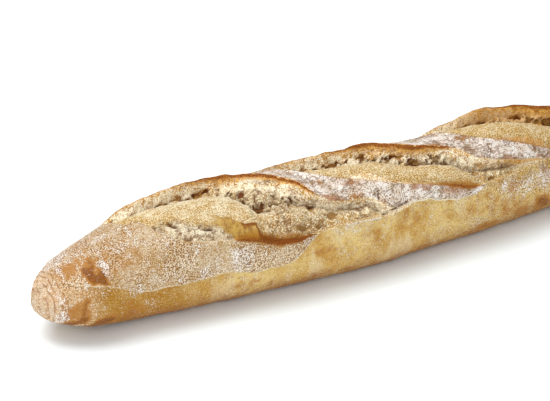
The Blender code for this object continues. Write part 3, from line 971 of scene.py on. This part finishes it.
def browned_edges(m, colour):
    """Dark rims along the upper edges and the lips of the scores, gold beside them."""
    wobble = m.sway(m.blend(m.fine, 0.6, m.medium), 5.0)
    gold = m.mix(m.rise(m.fine, 0.58, 0.42), tint(162, 100, 24), tint(218, 168, 86))
    dark = m.mix(m.rise(m.grit, 0.42, 0.56), tint(102, 46, 4), tint(152, 88, 26))
    toast = m.add(m.mask("toast"), 0.04)
    rim = m.add(m.mask("upper"), m.times(wobble, toast))
    rim = m.math("DIVIDE", m.most(rim, m.times(rim, -2.4)), toast)
    rimmed = m.rise(m.mask("toast"), 0.0, 0.4)

    lip = m.add(m.mask("lip"), 0.04)
    line = m.add(m.mask("lower"), m.times(wobble, m.times(lip, 0.7)))
    line = m.math("DIVIDE", m.most(line, m.times(line, -4.0)), lip)
    lined = m.rise(m.mask("lip"), 0.05, 0.4)
    deepest = m.times(m.rise(line, 2.2, 0.6), m.rise(m.mask("lip"), 0.1, 0.8, 0.9, 0.3))
    crest = m.add(m.mask("crest"), m.sway(m.fine, 0.8))
    return m.layers(
        colour,
        (m.times(m.rise(rim, 3.7, 1.5, 0.88), rimmed), gold),
        (m.times(m.rise(rim, 1.6, 0.7, 0.95), rimmed), dark),
        (m.times(m.rise(line, 5.5, 2.0, 0.85), lined), (164, 108, 28)),
        (m.times(deepest, lined), dark),
        (m.rise(crest, 0.3, 0.8, 0.85), (122, 62, 10)))


def sole_colour(m):
    """The underside: mottled brown, with a little flour and darker spots."""
    mottled = m.rise(m.blend(m.medium, 0.6, m.fine), 0.42, 0.58)
    return m.layers(
        m.mix(mottled, tint(178, 126, 66), tint(142, 88, 36)),
        (m.rise(m.noise(5.0, 2, 0.5, shift=740), 0.6, 0.68, 0.6), (104, 58, 18)),
        (m.rise(m.blend(m.grit, 0.5, m.patchy), 0.52, 0.62, 0.6), (224, 208, 184)))


def crust_material():
    """The baked surface, painted by the masks of the relief and by noise."""
    m = Shading("baked_crust")
    m.end = m.math("MINIMUM", m.station, m.less(LENGTH, m.station))
    height = m.tree.nodes.new("ShaderNodeSeparateXYZ")
    m.join(m.millimetres, height.inputs[0])
    m.height = height.outputs[2]
    m.medium = m.noise(8, 3, 0.55, shift=40)
    m.patchy = m.noise(13, 3, 0.6, shift=160)
    m.fine = m.noise(2.0, 3, 0.6, shift=80)
    m.grit = m.noise(0.58, 1, 0.5, shift=120)
    m.above = m.most(m.rise(m.mask("fold"), -0.3, 0.7), m.rise(m.end, 30, 16))

    skin, floured = skin_colour(m)
    opened = m.rise(m.mask("cut"), -0.3, 0.3)
    # painted shade: the deep cracks away from the ears darken to dark brown along their middle
    crack = m.add(m.distance(m.mask("crevice")), m.sway(m.fine, 1.6))
    crack = m.times(m.rise(crack, 0.9, 0.2, 0.9), m.mask("cracked"))
    crack = m.times(crack, m.rise(m.noise(3.2, 2, 0.5, shift=600), 0.4, 0.55, 1.0, 0.3))
    colour = m.layers(skin, (opened, opened_colour(m)), (crack, (96, 54, 12)))
    colour = m.mix(m.times(m.mask("sole"), 0.9), browned_edges(m, colour), sole_colour(m))
    m.join(colour, m.shader.inputs["Base Color"])

    powdery = m.times(floured, m.rise(m.mask("cut"), 0.3, -0.3))
    dull = m.add(m.times(powdery, FLOUR_DULLNESS), m.times(opened, CRUMB_DULLNESS))
    m.join(m.math("ADD", CRUST_ROUGHNESS, dull, clamp=True), m.shader.inputs["Roughness"])
    m.shader.inputs["Specular IOR Level"].default_value = SHINE

    relief = m.add(m.times(m.grit, 0.35), m.times(m.fine, 0.6))
    relief = m.add(relief, m.times(powdery, 0.2))
    bump = m.tree.nodes.new("ShaderNodeBump")
    bump.inputs["Strength"].default_value = 0.9
    bump.inputs["Distance"].default_value = 0.8 * MM
    m.join(relief, bump.inputs["Height"])
    m.join(bump.outputs["Normal"], m.shader.inputs["Normal"])
    return m.material


def floor_object():
    """A pale floor."""
    mesh = bpy.data.meshes.new("floor")
    corners = [(x * FLOOR_SIZE, y * FLOOR_SIZE, 0) for x, y in ((-1, -1), (1, -1), (1, 1), (-1, 1))]
    mesh.from_pydata(corners, [], [(0, 1, 2, 3)])
    material = bpy.data.materials.new("floor_pale")
    material.use_nodes = True
    shader = material.node_tree.nodes["Principled BSDF"]
    shader.inputs["Base Color"].default_value = FLOOR_COLOUR
    shader.inputs["Roughness"].default_value = 0.8
    mesh.materials.append(material)
    floor = bpy.data.objects.new("floor", mesh)
    bpy.context.scene.collection.objects.link(floor)
    return floor


# ---- Light and camera, in metres and watts ----

SURROUNDINGS = 0.62
# square lights: name, place, what it points at, side, power
LIGHTS = (
    ("key", (-0.5, 0.35, 1.1), (-0.1, 0, 0.02), 0.9, 12.0),
    ("front", (-0.8, -1.2, 0.6), (-0.1, 0, 0.03), 1.1, 9.0),
)
AZIMUTH = -30
ELEVATION = 26
DISTANCE = 1.4
AIM = (-0.169, -0.00416, 0.039)
LENS = 189.687


def studio():
    """White surroundings, a large light behind the loaf and a weak one in front."""
    world = bpy.data.worlds.new("studio")
    world.use_nodes = True
    background = world.node_tree.nodes["Background"]
    background.inputs["Color"].default_value = (1, 1, 1, 1)
    background.inputs["Strength"].default_value = SURROUNDINGS
    bpy.context.scene.world = world
    for name, place, aim, size, power in LIGHTS:
        light = bpy.data.lights.new(name, "AREA")
        light.size = size
        light.energy = power
        lamp = bpy.data.objects.new(name, light)
        lamp.location = place
        lamp.rotation_mode = "QUATERNION"
        lamp.rotation_quaternion = (Vector(place) - Vector(aim)).to_track_quat("Z", "Y")
        bpy.context.scene.collection.objects.link(lamp)
    bpy.context.scene.view_settings.view_transform = "Standard"


def camera():
    """Looks down on the near half of the loaf from its near end."""
    azimuth = math.radians(AZIMUTH)
    elevation = math.radians(ELEVATION)
    back = Vector((math.sin(azimuth) * math.cos(elevation),
                   -math.cos(azimuth) * math.cos(elevation), math.sin(elevation)))
    eye = bpy.data.objects.new("camera", bpy.data.cameras.new("camera"))
    eye.location = Vector(AIM) + back * DISTANCE
    eye.rotation_mode = "QUATERNION"
    eye.rotation_quaternion = back.to_track_quat("Z", "Y")
    eye.data.lens = LENS
    bpy.context.scene.collection.objects.link(eye)
    bpy.context.scene.camera = eye


loaf = loaf_object(crust_material())
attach(loaf, "root")
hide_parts("baguette")
floor_object()
studio()
camera()
